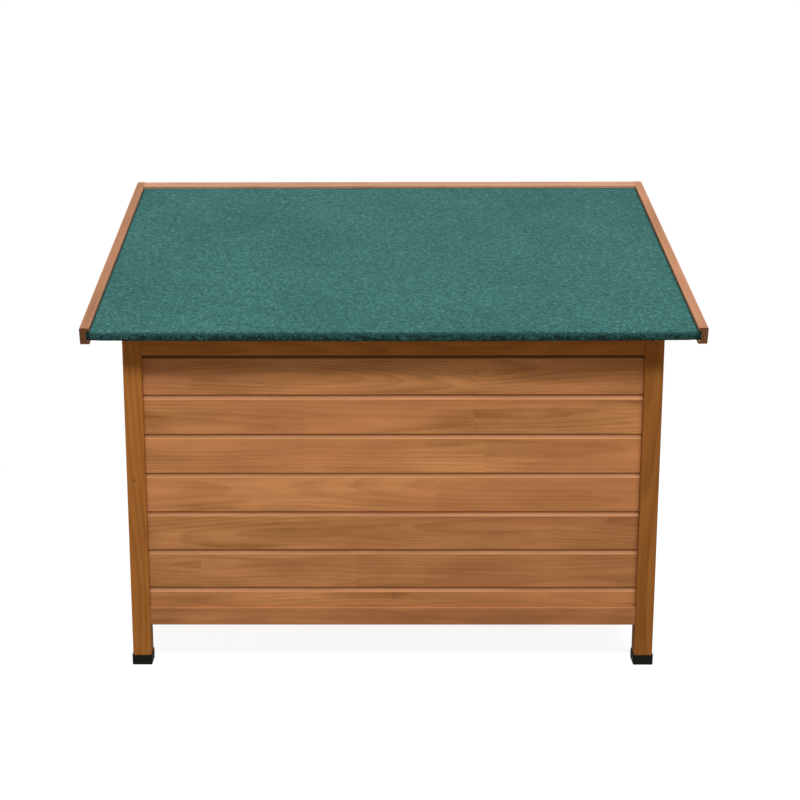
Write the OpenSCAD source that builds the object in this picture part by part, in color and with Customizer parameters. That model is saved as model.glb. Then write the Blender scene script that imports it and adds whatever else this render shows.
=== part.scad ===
// Wooden dog kennel with a single-pitch felted roof that lifts on hinges.
// Millimetres, +Z up. The origin is on the ground, in the middle of the outer box.
// The low rear wall faces -Y, the doorway faces +Y, and the roof rises towards +Y.

/* [Body] */
// Width over the corner posts
body_w = 1020; // [860:5:1300]
// Depth over the corner posts
body_d = 660; // [540:5:900]
// Side of a square corner post
post_w = 36; // [32:1:50]
// Rounding of the long post edges
post_r = 4; // [1:0.5:5]
// Height from the ground to the underside of the walls
leg_clear = 82; // [40:1:160]

/* [Walls] */
// Height of the lower rails
bottom_rail_h = 36; // [30:1:60]
// Height of the boarding between the rails of the rear wall
rear_board_h = 507; // [400:1:620]
// Height of the upper rails
top_rail_h = 51.5; // [46:0.5:80]
// Thickness of rails, stiles, jambs and lintel
rail_t = 22; // [20:0.5:28]
// How far rails and stiles lie behind the post faces
rail_set = 4; // [2:0.5:8]
// Width of the side wall stiles
stile_w = 30; // [24:1:50]
// Rounding of rail, stile and jamb edges
rail_r = 1.5; // [0.5:0.25:2.5]
// Depth of the grooves that hold board ends and tenons
groove_d = 8; // [6:0.5:10]
// Wood left below a tenon, which hides the end of the groove
shoulder = 6; // [4:1:10]
// Clearance on each side of a wooden joint
fit = 0.2; // [0.1:0.05:0.4]

/* [Boards] */
// Thickness of the wall boards
board_t = 10; // [9:0.5:12]
// Width of a board that shows between two joints
board_cover = 77.7; // [60:0.1:120]
// Height of the highest board that shows on the rear wall
board_first = 80.4; // [50:0.1:130]
// Gap left in the joints between wall boards
board_gap = 1.6; // [0.4:0.1:2]
// Depth of the chamfer on each side of a V joint
board_v = 3; // [1:0.25:3]
// Thickness of the tongues
tongue_t = 3; // [2:0.2:3.6]
// Height of the tongues
tongue_h = 5; // [3:0.5:6]

/* [Doorway] */
// Clear width of the doorway
door_w = 360; // [280:5:440]
// Clear height of the doorway
door_h = 500; // [380:5:540]
// Width of wall between the doorway and the post at +X
door_side = 124; // [80:2:300]
// Height of the sill above the floor
sill_h = 40; // [20:1:80]
// Width of the door jambs
jamb_w = 36; // [30:1:60]
// Height of the lintel
lintel_h = 44; // [30:1:60]

/* [Floor] */
// Thickness of the floor boards
floor_t = 15; // [12:0.5:20]
// Width of a floor board that shows between two joints
floor_cover = 95; // [70:1:140]
// Side of the square ledgers under the floor
ledger = 20; // [14:1:21]

/* [Roof] */
// How far the roof reaches past the posts on each side
side_overhang = 70; // [35:1:160]
// How far the roof reaches past the rear posts
rear_overhang = 50; // [46:1:100]
// How far the roof reaches past the front posts
front_overhang = 90; // [50:1:160]
// Slope of the roof in degrees
pitch = 12; // [6:0.5:18]
// Thickness of the roof boards
deck_t = 14.5; // [9:0.5:18]
// Width of a roof board between two joints
deck_cover = 92; // [70:1:140]
// Thickness of the roofing felt
felt_t = 2.2; // [1.5:0.1:4]
// Width of felt turned under the rear edge
felt_wrap = 16; // [12:0.5:20]
// Width of felt turned under the other edges
felt_fold = 12; // [8:0.5:30]
// How far the felt stays behind the rear ends of the side trims
felt_inset = 0.5; // [0:0.5:6]
// Rounding of the felt where it turns round the rear edge
felt_r = 4.5; // [3.5:0.25:6]
// Gap between the closed roof and the walls
seat_gap = 0.3; // [0.2:0.05:0.6]
// Width of the two roof battens
batten_w = 40; // [25:1:80]
// Thickness of the two roof battens
batten_t = 28; // [26:0.5:34]
// Space between the batten ends and the wall rails
batten_gap = 6; // [4:0.5:20]

/* [Roof trims] */
// Width of the side trims
trim_w = 18; // [14:0.5:30]
// Width of the front trim
front_trim_w = 26; // [16:0.5:40]
// Depth of the groove that takes the edge of the roof
trim_groove = 6; // [4:0.25:8]
// Height of the lip above the felt
trim_top = 6.8; // [5:0.1:14]
// Height of the lip below the roof boards
trim_bottom = 6.4; // [4:0.1:10]
// Rounding of the long trim edges
trim_r = 2; // [0.5:0.25:2.5]
// Rounding of the two front corners of the roof
trim_corner_r = 6; // [2:0.5:12]

/* [Feet] */
// Wall of the plastic foot caps
foot_wall = 1.5; // [1:0.1:3]
// Height of the foot caps
foot_h = 20.5; // [12:0.5:35]
// Thickness of the foot caps under the post
foot_base = 4; // [2:0.5:8]
// Rounding of the standing corners of the foot caps
foot_r = 5; // [2:0.5:6]
// Rounding of the lower edges of the foot caps
foot_edge_r = 2.5; // [0.5:0.25:3.5]

/* [Hinges] */
// Length of a hinge
hinge_l = 60; // [45:1:100]
// Distance of each hinge from the middle
hinge_x = 300; // [100:5:380]
// Reach of a leaf from the hinge axis
leaf_l = 15; // [14:0.5:24]
// Thickness of the sheet steel of hinges, plate and bracket
steel_t = 2; // [1.6:0.1:2.4]
// Outer radius of the knuckles
knuckle_r = 3.2; // [2.8:0.1:4]
// Number of knuckles on a hinge
knuckles = 5; // [3:2:7]
// Gap between moving steel pieces
steel_gap = 0.3; // [0.2:0.05:0.6]
// Radius of the hinge pins
pin_r = 1.5; // [1:0.1:1.6]
// Running clearance round a pin or pivot
pin_play = 0.05; // [0.02:0.01:0.09]
// Radius of the pin heads
pin_head_r = 2.4; // [2:0.1:3]
// Thickness of the pin heads
pin_head_h = 1.2; // [0.6:0.1:3]
// Spacing of the screws in a leaf
leaf_screw_x = 20; // [14:1:40]

/* [Stay] */
// Distance of pivot and guide stud from the hinge axis
stay_reach = 230; // [180:5:260]
// Depth of the guide stud below the roof boards
stud_drop = 40; // [38:0.5:42]
// Angle of the fully open roof
open_angle = 75; // [40:1:75]
// Width of the arm
arm_w = 20; // [18:0.5:22]
// Thickness of the arm
arm_t = 2; // [1.5:0.1:3]
// Radius of the guide stud and of the pivot
stud_r = 3; // [2.5:0.1:3.4]
// Radius of the stud heads
stud_head_r = 5.5; // [4.5:0.1:7]
// Space for the stud on each side of the slot
slot_play = 0.4; // [0.3:0.05:0.8]
// Depth of the notch that locks the open roof
notch = 3; // [2:0.25:4]
// Length of the collar between plate and arm
collar = 5; // [4.5:0.1:8]
// Width of the guide plate
plate_w = 24; // [20:1:40]
// Length of the bracket along the batten
bracket_l = 48; // [44:1:60]
// Width of the bracket
bracket_w = 16; // [14:0.5:20]

/* [Screws] */
// Radius of the post screw heads
post_screw_head_r = 3; // [2.6:0.1:5]
// Radius of the post screws
post_screw_r = 1.75; // [1.25:0.05:2.5]
// Length of the post screws
post_screw_l = 54; // [46:1:58]
// Height of the lowest post screws above the underside of the walls
screw_low = 57; // [30:1:120]
// Depth of the highest post screws below the roof
screw_high = 88; // [40:1:160]
// Height of the middle post screws above halfway
screw_mid = 16; // [-40:1:40]
// Radius of the fittings' screw heads
small_head_r = 3.2; // [2.6:0.1:3.6]
// Radius of the fittings' screws
small_screw_r = 1.6; // [1.2:0.1:1.8]
// Length of the fittings' screws
small_screw_l = 9.5; // [7:0.1:10]
// Clearance round the screws
screw_play = 0.1; // [0.05:0.01:0.2]
// Depth of the screw heads below the surface
head_sink = 0.5; // [0.05:0.05:1]

/* [Hidden] */
$fn = 64;

// Levels in plan
roof_w = body_w + 2 * side_overhang;
roof_d = rear_overhang + body_d + front_overhang;
y_rear = rear_overhang - roof_d / 2;
y_front = y_rear + body_d;
y_mid = (y_rear + y_front) / 2;
post_in = body_w / 2 - post_w;
door_u1 = post_in - door_side;
door_u0 = door_u1 - door_w;
side_u = body_d / 2 - post_w;

// Depths within a wall, counted inwards from the post faces
board_set = rail_set + (rail_t - board_t) / 2;
rail_in = rail_set + rail_t;
tenon = groove_d - fit;

// Levels in height
rail_top = leg_clear + bottom_rail_h;
rear_rail_low = rail_top + rear_board_h;
rear_z = rear_rail_low + top_rail_h + seat_gap / cos(pitch) - rail_set * tan(pitch);
front_rail_low = roof_z(y_front - rail_in, seat_gap) - top_rail_h;
sill_top = rail_top + sill_h;
door_top = sill_top + door_h;
tall = roof_z(y_front + front_overhang) + top_rail_h;
beyond = roof_w + roof_d;

// Wall boards are counted down from a level near the upper rail of the rear wall
joint_gap = 2 * fit;
board_level = rear_rail_low - board_first + board_cover;
last_rear = ceil((rear_board_h - board_first) / board_cover);
side_board_top = roof_z(y_front - post_w - stile_w + tenon, seat_gap + top_rail_h - tenon);

// Roof levels across the slope, counted up from the underside of the boards
trim_high = deck_t + felt_t + fit + trim_top;
trim_low = -felt_t - fit - trim_bottom;
roof_v0 = (-rear_overhang + trim_high * sin(pitch)) / cos(pitch);
roof_v1 = (body_d + front_overhang + trim_low * sin(pitch)) / cos(pitch);
trim_in = roof_w / 2 - trim_w;
felt_x = trim_in + trim_groove - fit;
felt_v0 = roof_v0 + felt_inset;
felt_v1 = roof_v1 - front_trim_w + trim_groove - fit;
deck_x = felt_x - felt_t - fit;
deck_v0 = felt_v0 + felt_t + fit;
deck_v1 = felt_v1 - felt_t - fit;
wrap_r = felt_r - felt_t;
batten_v0 = (rail_in + batten_gap) / cos(pitch);
batten_v1 = (body_d - rail_in - batten_gap - batten_t * sin(pitch)) / cos(pitch);

// The hinge axis lies in the corner between the rear rail and the roof
axis_off = knuckle_r + steel_gap;
axis_y = y_rear + rail_set - axis_off;
axis_v = (rail_set - axis_off - axis_off * sin(pitch)) / cos(pitch);
axis_z = rear_z + axis_v * sin(pitch) - axis_off * cos(pitch);
knuckle_l = hinge_l / knuckles;
leaf_screw_z = (leaf_l + axis_off) / 2;
small_head_h = small_head_r - small_screw_r;
post_head_h = post_screw_head_r - post_screw_r;

// Stay: pivot and stud at one radius, so the arm turns half as far as the roof
pivot_drop = batten_t / 2;
pivot_angle = asin((axis_off - pivot_drop) / stay_reach);
stud_angle = asin((axis_off - stud_drop) / stay_reach);
arm_angle = (pivot_angle + stud_angle) / 2 - 90;
pivot_v = stay_reach * cos(pivot_angle);
pivot_w = axis_off - pivot_drop;
stud_v = stay_reach * cos(stud_angle);
stud_w = axis_off - stud_drop;
chord_closed = 2 * stay_reach * sin((pivot_angle - stud_angle) / 2);
chord_open = 2 * stay_reach * sin((open_angle + pivot_angle - stud_angle) / 2);
slot_r = stud_r + slot_play;
wall_face = body_w / 2 - rail_in;
plate_face = wall_face - steel_t;
arm_out = plate_face - collar - steel_gap;
arm_in = arm_out - arm_t;
tab_out = arm_in - steel_gap;
tab_in = tab_out - steel_t;
plate_top = axis_off - shoulder;
plate_low = stud_w - stud_head_r - shoulder / 2;
plate_screws = [plate_top - small_head_r - steel_t, plate_top - 3 * small_head_r - 2 * steel_t];

function roof_z(y, drop = 0) = rear_z + (y - y_rear) * tan(pitch) - drop / cos(pitch);
function screw_heights(y) =
    let (low = leg_clear + screw_low)
    let (high = roof_z(y, seat_gap) - screw_high)
    [low, (low + high) / 2 + screw_mid, high];

// The outline of a tongued and grooved board in depth and height
function board_outline(h0, h1, t, v, tongue, groove) =
    let (mid = t / 2)
    let (tw = tongue_t / 2)
    let (gw = tw + fit)
    let (c = min(v, mid - gw - fit))
    let (deep = tongue_h + joint_gap)
    concat(
        groove ? [
            [t, h0], [mid + gw, h0], [mid + gw, h0 + deep], [mid - gw, h0 + deep],
            [mid - gw, h0], [c, h0], [0, h0 + c]
        ] : [[t, h0], [0, h0]],
        tongue ? [
            [0, h1 - c], [c, h1], [mid - tw, h1], [mid - tw, h1 + tongue_h],
            [mid + tw, h1 + tongue_h], [mid + tw, h1], [t, h1]
        ] : [[0, h1], [t, h1]]);

// Colours
board_colour = [0.64, 0.42, 0.26];
frame_colour = [0.54, 0.33, 0.17];
trim_colour = [0.72, 0.50, 0.36];
inner_colour = [0.70, 0.55, 0.38];
felt_colour = [0.24, 0.42, 0.40];
foot_colour = [0.10, 0.11, 0.10];
steel_colour = [0.70, 0.71, 0.72];

// Shared shapes

// A rectangle with rounded corners
module eased(w, h, r) {
    translate([r, 0]) square([w - 2 * r, h]);
    translate([0, r]) square([w, h - 2 * r]);
    for (x = [r, w - r], y = [r, h - r])
        translate([x, y]) circle(r);
}

// A slot outline between two points on the first axis
module stadium(a0, a1, r) {
    translate([a0, -r]) square([a1 - a0, 2 * r]);
    translate([a0, 0]) circle(r);
    translate([a1, 0]) circle(r);
}

// Sweeps an outline given in depth and height along the wall
module along(u0, u1) {
    translate([u0, 0, 0]) rotate([90, 0, 90]) linear_extrude(u1 - u0) children();
}

// Sweeps an outline given in width and height along the roof's slope
module along_slope(v0, v1) {
    translate([0, v1, 0]) rotate([90, 0, 0]) linear_extrude(v1 - v0) children();
}

// Frames: each wall's own frame has depth from the post faces inwards
module rear_wall() { translate([0, y_rear, 0]) children(); }
module front_wall() { translate([0, y_front, 0]) mirror([0, 1, 0]) children(); }
module left_wall() { translate([-body_w / 2, y_mid, 0]) rotate([0, 0, -90]) children(); }
module flip() { mirror([1, 0, 0]) children(); }

// The roof's frame lies on the underside of its boards, over the rear post faces
module in_roof() { translate([0, y_rear, rear_z]) rotate([pitch, 0, 0]) children(); }

// The hinge frame has the roof's slope and lies on the hinge axis
module at_axis() { translate([0, axis_y, axis_z]) rotate([pitch, 0, 0]) children(); }

// Keeps what lies under the roof, lowered by a drop
module below_roof(drop) {
    intersection() {
        children();
        in_roof() translate([-beyond, -beyond, -2 * beyond - drop])
            cube([2 * beyond, 2 * beyond, 2 * beyond]);
    }
}

// Keeps what lies between two depths of the kennel
module between(y0, y1) {
    intersection() {
        children();
        translate([-beyond, y0, 0]) cube([2 * beyond, y1 - y0, tall]);
    }
}

// A groove outline that holds boards and tenons
module board_groove(z0, z1) {
    translate([board_set - fit, z0]) square([board_t + 2 * fit, z1 - z0]);
}

// Walls

// A corner post on the right of a wall
module wall_post(heights) {
    difference() {
        translate([post_in, 0, foot_base]) linear_extrude(tall) eased(post_w, post_w, post_r);
        along(post_in - groove_d, post_in + groove_d) board_groove(leg_clear + shoulder - fit, 2 * tall);
        for (z = heights)
            post_screw_at(z) post_screw(screw_play);
    }
}

module rear_post() {
    color(frame_colour)
        below_roof(seat_gap) rear_wall() wall_post(screw_heights(y_rear));
}

module front_post() {
    color(frame_colour)
        below_roof(seat_gap) front_wall() wall_post(screw_heights(y_front - post_w));
}

// A screw through a post into the stile behind it; with play, the sunk hole for one
module post_screw(play = 0) {
    rotate([-90, 0, 0]) {
        if (play > 0)
            translate([0, 0, -head_sink]) cylinder(h = head_sink, r = post_screw_head_r + play);
        cylinder(h = post_head_h, r1 = post_screw_head_r + play, r2 = post_screw_r + play);
        cylinder(h = post_screw_l + play, r = post_screw_r + play);
    }
}

module post_screw_at(z) {
    translate([body_w / 2 - rail_set - rail_t / 2, head_sink, z]) children();
}

module post_screws() {
    color(steel_colour) {
        rear_wall() pair() for (z = screw_heights(y_rear)) post_screw_at(z) post_screw();
        front_wall() pair() for (z = screw_heights(y_front - post_w)) post_screw_at(z) post_screw();
    }
}

// Draws its children on the right and mirrored on the left
module pair() {
    children();
    flip() children();
}

// A plastic cap under a post on the right of a wall
module foot() {
    half = post_w / 2 + fit + foot_wall;
    color(foot_colour) translate([post_in + post_w / 2, post_w / 2, 0])
        difference() {
            intersection() {
                translate([-half, -half, 0]) linear_extrude(foot_h) eased(2 * half, 2 * half, foot_r);
                along(-half, half) foot_side(half);
                rotate([0, 0, 90]) along(-half, half) foot_side(half);
            }
            translate([-post_w / 2 - fit, -post_w / 2 - fit, foot_base])
                linear_extrude(foot_h) eased(post_w + 2 * fit, post_w + 2 * fit, post_r);
        }
}

module foot_side(half) {
    translate([-half, 0]) eased(2 * half, foot_h + 2 * foot_edge_r, foot_edge_r);
}

// A lower rail between two posts or stiles, with a groove on top and a tenon at each end
module bottom_rail(u) {
    along(-u, u) difference() {
        translate([rail_set, leg_clear]) eased(rail_t, bottom_rail_h, rail_r);
        board_groove(rail_top - groove_d, rail_top + groove_d);
    }
    along(-u - tenon, u + tenon)
        translate([board_set, leg_clear + shoulder])
            square([board_t, bottom_rail_h - groove_d - shoulder]);
}

// An upper rail between two posts, cut to the roof's slope
module top_rail_blank(low) {
    along(-post_in, post_in) difference() {
        translate([rail_set, low]) eased(rail_t, tall, rail_r);
        board_groove(low - groove_d, low + groove_d);
    }
}

module top_rail_tenons(low) {
    along(-post_in - tenon, post_in + tenon)
        translate([board_set, low + groove_d]) square([board_t, tall]);
}

module rear_top_rail() {
    color(frame_colour) difference() {
        union() {
            below_roof(seat_gap) rear_wall() top_rail_blank(rear_rail_low);
            below_roof(seat_gap + shoulder) rear_wall() top_rail_tenons(rear_rail_low);
        }
        wall_hinges() leaf_screw_spots() small_screw(screw_play);
    }
}

module rear_bottom_rail() { color(frame_colour) rear_wall() bottom_rail(post_in); }

module front_top_rail() {
    color(frame_colour) {
        below_roof(seat_gap) front_wall() top_rail_blank(front_rail_low);
        below_roof(seat_gap + shoulder) front_wall() top_rail_tenons(front_rail_low);
    }
}

module front_bottom_rail() { color(frame_colour) front_wall() bottom_rail(post_in); }

// One wall board, where k counts down from the highest board of the rear wall
module wall_board(u0, u1, z0, z1, k, k_first, k_last) {
    line = board_level - k * board_cover;
    h0 = k == k_last ? z0 - tenon : line - board_cover;
    h1 = k == k_first ? z1 + tenon : line - board_gap;
    along(u0 - tenon, u1 + tenon) translate([board_set, 0])
        polygon(board_outline(h0, h1, board_t, board_v, k != k_first, k != k_last));
}

// The boards of a field between two stiles and two rails
module board_field(u0, u1, z0, z1) {
    k_first = floor((board_level - z1) / board_cover);
    k_last = ceil((board_level - z0) / board_cover) - 1;
    for (k = [k_first:k_last])
        wall_board(u0, u1, z0, z1, k, k_first, k_last);
}

module rear_board(k) {
    color(board_colour) rear_wall()
        wall_board(-post_in, post_in, rail_top, rear_rail_low, k, 0, last_rear);
}

// The rear stile of the left wall; its post screws bite into its outer edge
module stile(heights) {
    difference() {
        translate([side_u - stile_w, rail_set, leg_clear])
            linear_extrude(tall) eased(stile_w, rail_t, rail_r);
        along(side_u - stile_w - groove_d, side_u - stile_w + groove_d)
            board_groove(leg_clear + shoulder - fit, 2 * tall);
        for (z = heights)
            translate([side_u + post_w - head_sink, rail_set + rail_t / 2, z])
                rotate([0, 0, 90]) post_screw(screw_play);
    }
}

module left_rear_stile() {
    color(frame_colour) below_roof(seat_gap) left_wall() stile(screw_heights(y_rear));
}

module left_front_stile() {
    color(frame_colour) below_roof(seat_gap) left_wall() flip() stile(screw_heights(y_front - post_w));
}

// The sloped upper rail of the left wall
module left_top_rail_wood() {
    x0 = -body_w / 2 + rail_set;
    y0 = y_rear + post_w + stile_w;
    y1 = y_front - post_w - stile_w;
    low = -seat_gap - top_rail_h;
    between(y0, y1) in_roof() along_slope(0, beyond) difference() {
        translate([x0, low]) eased(rail_t, top_rail_h, rail_r);
        translate([x0 - rail_set + board_set - fit, low - groove_d])
            square([board_t + 2 * fit, 2 * groove_d]);
    }
    between(y0 - tenon, y1 + tenon) in_roof() along_slope(0, beyond)
        translate([x0 - rail_set + board_set, low + groove_d])
            square([board_t, top_rail_h - groove_d - shoulder]);
}

module left_top_rail() {
    color(frame_colour) difference() {
        left_top_rail_wood();
        flip() plate_screw_spots() small_screw(screw_play);
    }
}

module right_top_rail() { color(frame_colour) flip() left_top_rail_wood(); }

module left_bottom_rail() { color(frame_colour) left_wall() bottom_rail(side_u - stile_w); }

module left_boards() {
    u = side_u - stile_w;
    color(board_colour) below_roof(seat_gap + top_rail_h - tenon)
        left_wall() board_field(-u, u, rail_top, side_board_top);
}

// Front wall

// A door jamb with its inner edge on the right
module jamb_at(u) {
    low = rail_top;
    high = front_rail_low;
    difference() {
        union() {
            translate([u - jamb_w, rail_set, low]) linear_extrude(high - low) eased(jamb_w, rail_t, rail_r);
            translate([u - jamb_w + groove_d, board_set, low - tenon])
                cube([jamb_w - 2 * groove_d, board_t, high - low + 2 * tenon]);
        }
        along(u - jamb_w - groove_d, u - jamb_w + groove_d) board_groove(low, high);
        along(u - groove_d, u + groove_d) board_groove(door_top + shoulder - fit, high);
    }
}

module door_left_jamb() { color(frame_colour) front_wall() jamb_at(door_u0); }
module door_right_jamb() { color(frame_colour) front_wall() flip() jamb_at(-door_u1); }

module door_lintel() {
    color(frame_colour) front_wall() {
        along(door_u0, door_u1) difference() {
            translate([rail_set, door_top]) eased(rail_t, lintel_h, rail_r);
            board_groove(door_top + lintel_h - groove_d, door_top + lintel_h + groove_d);
        }
        along(door_u0 - tenon, door_u1 + tenon)
            translate([board_set, door_top + shoulder])
                square([board_t, lintel_h - groove_d - shoulder]);
    }
}

// The sill stands on the lower rail, with a tongue in the rail's groove
module door_sill() {
    color(frame_colour) front_wall() {
        along(door_u0, door_u1) {
            translate([rail_set, rail_top]) eased(rail_t, sill_h, rail_r);
            translate([board_set, rail_top - tenon]) square([board_t, 2 * tenon]);
        }
    }
}

module front_left_boards() {
    color(board_colour) front_wall()
        board_field(-post_in, door_u0 - jamb_w, rail_top, front_rail_low);
}

module front_right_boards() {
    color(board_colour) front_wall()
        board_field(door_u1 + jamb_w, post_in, rail_top, front_rail_low);
}

module front_upper_boards() {
    color(board_colour) front_wall()
        board_field(door_u0, door_u1, door_top + lintel_h, front_rail_low);
}

// Floor

module floor_ledger() {
    color(inner_colour)
        translate([-post_in + fit, rail_in, rail_top - floor_t - ledger])
            cube([2 * post_in - 2 * fit, ledger, ledger]);
}

// Floor boards run from front to back and are notched round the posts
module floor_boards() {
    x = body_w / 2 - rail_in - fit;
    y0 = y_rear + rail_in + fit;
    y1 = y_front - rail_in - fit;
    last = ceil(2 * x / floor_cover) - 1;
    notch_w = post_w + fit;
    color(inner_colour) difference() {
        translate([0, y1, rail_top]) rotate([0, 90, -90]) linear_extrude(y1 - y0)
            for (i = [0:last])
                polygon(board_outline(
                    -x + i * floor_cover,
                    i == last ? x : -x + (i + 1) * floor_cover - joint_gap,
                    floor_t, rail_r, i != last, i != 0));
        pair() for (y = [y_rear - fit, y_front - post_w - fit])
            translate([post_in - fit, y, 0]) cube([notch_w, notch_w + fit, tall]);
    }
}

// Roof

// The outline of a roof layer, with rounded corners on its rear edge
module roof_layer(v0, v1, low, high, r) {
    translate([v0 + r, low]) square([v1 - v0 - r, high - low]);
    translate([v0, low + r]) square([v1 - v0, high - low - 2 * r]);
    for (w = [low + r, high - r])
        translate([v0 + r, w]) circle(r);
}

// Roof boards run across the slope and their joints show from below
module roof_boards() {
    last = ceil((deck_v1 - deck_v0) / deck_cover) - 1;
    color(inner_colour) difference() {
        in_roof() intersection() {
            along(-deck_x, deck_x) roof_layer(deck_v0, deck_v1, 0, deck_t, wrap_r - fit);
            translate([deck_x, 0, 0]) rotate([0, -90, 0]) linear_extrude(2 * deck_x)
                for (i = [0:last])
                    polygon(board_outline(
                        deck_v0 + i * deck_cover,
                        i == last ? deck_v1 : deck_v0 + (i + 1) * deck_cover - joint_gap,
                        deck_t, rail_r, i != last, i != 0));
        }
        roof_hinges() leaf_screw_spots() small_screw(screw_play);
    }
}

// The felt covers the boards, wraps the rear edge and is turned under all round
module roof_felt() {
    color(felt_colour) in_roof() difference() {
        along(-felt_x, felt_x) roof_layer(felt_v0, felt_v1, -felt_t, deck_t + felt_t, felt_r);
        along(-deck_x - fit, deck_x + fit)
            roof_layer(deck_v0 - fit, deck_v1 + fit, 0, deck_t, wrap_r);
        translate([-felt_x + felt_fold, felt_v0 + felt_wrap, -deck_t])
            cube([2 * felt_x - 2 * felt_fold, felt_v1 - felt_v0 - felt_wrap - felt_fold, deck_t + fit]);
    }
}

// A grooved trim on the right side of the roof, with its front corner rounded
module side_trim() {
    color(trim_colour) in_roof() intersection() {
        along_slope(roof_v0, roof_v1) difference() {
            translate([trim_in, trim_low]) eased(trim_w, trim_high - trim_low, trim_r);
            translate([trim_in - trim_groove, -felt_t - fit])
                square([2 * trim_groove, deck_t + 2 * felt_t + 2 * fit]);
        }
        translate([trim_in, roof_v0, trim_low]) linear_extrude(trim_high - trim_low) {
            square([trim_w, roof_v1 - roof_v0 - trim_corner_r]);
            square([trim_w - trim_corner_r, roof_v1 - roof_v0]);
            translate([trim_w - trim_corner_r, roof_v1 - roof_v0 - trim_corner_r]) circle(trim_corner_r);
        }
    }
}

// The front trim fits between the side trims, with a tongue in each of their grooves
module roof_front_trim() {
    v = roof_v1 - front_trim_w;
    color(trim_colour) in_roof() {
        along(-trim_in, trim_in) difference() {
            translate([v, trim_low]) eased(front_trim_w, trim_high - trim_low, trim_r);
            translate([v - trim_groove, -felt_t - fit])
                square([2 * trim_groove, deck_t + 2 * felt_t + 2 * fit]);
        }
        along(-felt_x, felt_x)
            translate([v + trim_groove, -felt_t])
                square([front_trim_w - trim_groove, deck_t + 2 * felt_t]);
    }
}

// A batten under the roof boards, just inside the side wall
module batten() {
    color(inner_colour) in_roof()
        translate([tab_in - batten_w, batten_v0, -batten_t])
            cube([batten_w, batten_v1 - batten_v0, batten_t]);
}

// The left batten also carries the stay
module roof_left_batten() {
    color(inner_colour) flip() difference() {
        batten();
        bracket_screw_spots() small_screw(screw_play);
    }
}

// Hinges

// A countersunk screw along +Y, used for all steel fittings
module small_screw(play = 0) {
    rotate([-90, 0, 0]) {
        cylinder(h = small_head_h, r1 = small_head_r + play, r2 = small_screw_r + play);
        cylinder(h = small_screw_l + play, r = small_screw_r + play);
    }
}

module wall_hinge() { translate([hinge_x, axis_y, axis_z]) children(); }
module roof_hinge() {
    at_axis() translate([hinge_x, 0, 0]) mirror([0, 1, 0]) rotate([90, 0, 0]) children();
}
module wall_hinges() { pair() wall_hinge() children(); }
module roof_hinges() { pair() roof_hinge() children(); }

module leaf_screw_spots() {
    for (x = [-leaf_screw_x, 0, leaf_screw_x])
        translate([x, axis_off - steel_t, -leaf_screw_z]) children();
}

// A hinge leaf on the axis, with every other knuckle from the given first one
module hinge_leaf(first) {
    color(steel_colour) difference() {
        union() {
            translate([-hinge_l / 2, axis_off - steel_t, -leaf_l])
                cube([hinge_l, steel_t, leaf_l - axis_off]);
            for (i = [first:2:knuckles - 1])
                translate([-hinge_l / 2 + i * knuckle_l + steel_gap / 2, 0, 0]) {
                    rotate([0, 90, 0]) cylinder(h = knuckle_l - steel_gap, r = knuckle_r);
                    translate([0, axis_off - steel_t, -axis_off])
                        cube([knuckle_l - steel_gap, steel_t, axis_off]);
                }
        }
        translate([-hinge_l / 2, 0, 0]) rotate([0, 90, 0]) cylinder(h = hinge_l, r = pin_r + pin_play);
        leaf_screw_spots() small_screw(screw_play);
    }
}

module hinge_pin() {
    color(steel_colour) wall_hinge() rotate([0, 90, 0]) {
        translate([0, 0, -hinge_l / 2 - pin_head_h]) cylinder(h = hinge_l + 2 * pin_head_h, r = pin_r);
        for (z = [-hinge_l / 2 - pin_head_h, hinge_l / 2])
            translate([0, 0, z]) cylinder(h = pin_head_h, r = pin_head_r);
    }
}

// Stay, drawn on the right and mirrored to the left wall

module at_pivot() { at_axis() translate([0, pivot_v, pivot_w]) children(); }
module at_stud() { at_axis() translate([0, stud_v, stud_w]) children(); }

// A round piece along the hinge axis between two distances from the middle
module round_bar(x0, x1, r) {
    translate([x0, 0, 0]) rotate([0, 90, 0]) cylinder(h = x1 - x0, r = r);
}

module plate_screw_spots() {
    at_axis() for (w = plate_screws)
        translate([plate_face, stud_v, w]) rotate([0, 0, -90]) children();
}

// The plate on the side rail, with the stud that runs in the arm's slot
module stay_guide() {
    color(steel_colour) flip() difference() {
        union() {
            at_axis() translate([plate_face, stud_v - plate_w / 2, plate_low])
                cube([steel_t, plate_w, plate_top - plate_low]);
            at_stud() {
                round_bar(tab_in, plate_face + steel_t / 2, stud_r);
                round_bar(plate_face - collar, plate_face + steel_t / 2, stud_head_r);
                round_bar(tab_in, tab_out, stud_head_r);
            }
        }
        plate_screw_spots() small_screw(screw_play);
    }
}

module bracket_screw_spots() {
    for (v = [-1, 1])
        at_pivot() translate([tab_out, v * (bracket_l - bracket_w) / 2, 0]) rotate([0, 0, 90]) children();
}

// The plate on the batten's outer face, with the arm's pivot
module stay_bracket() {
    half = (bracket_l - bracket_w) / 2;
    color(steel_colour) flip() difference() {
        at_pivot() {
            along(tab_in, tab_out) stadium(-half, half, bracket_w / 2);
            round_bar(tab_in + steel_t / 2, arm_out + steel_t, stud_r);
            round_bar(arm_out + steel_gap, arm_out + steel_gap + steel_t, stud_head_r);
        }
        bracket_screw_spots() small_screw(screw_play);
    }
}

// The slotted arm hangs from the pivot and slides on the stud
module stay_arm() {
    color(steel_colour) flip() at_pivot() difference() {
        along(arm_in, arm_out) rotate(arm_angle) difference() {
            stadium(0, chord_open + arm_w / 2, arm_w / 2);
            stadium(chord_closed, chord_open, slot_r);
            translate([chord_open, notch]) circle(slot_r);
            translate([chord_open - slot_r, 0]) square([2 * slot_r, notch]);
        }
        round_bar(arm_in, arm_out, stud_r + pin_play);
    }
}

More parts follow.
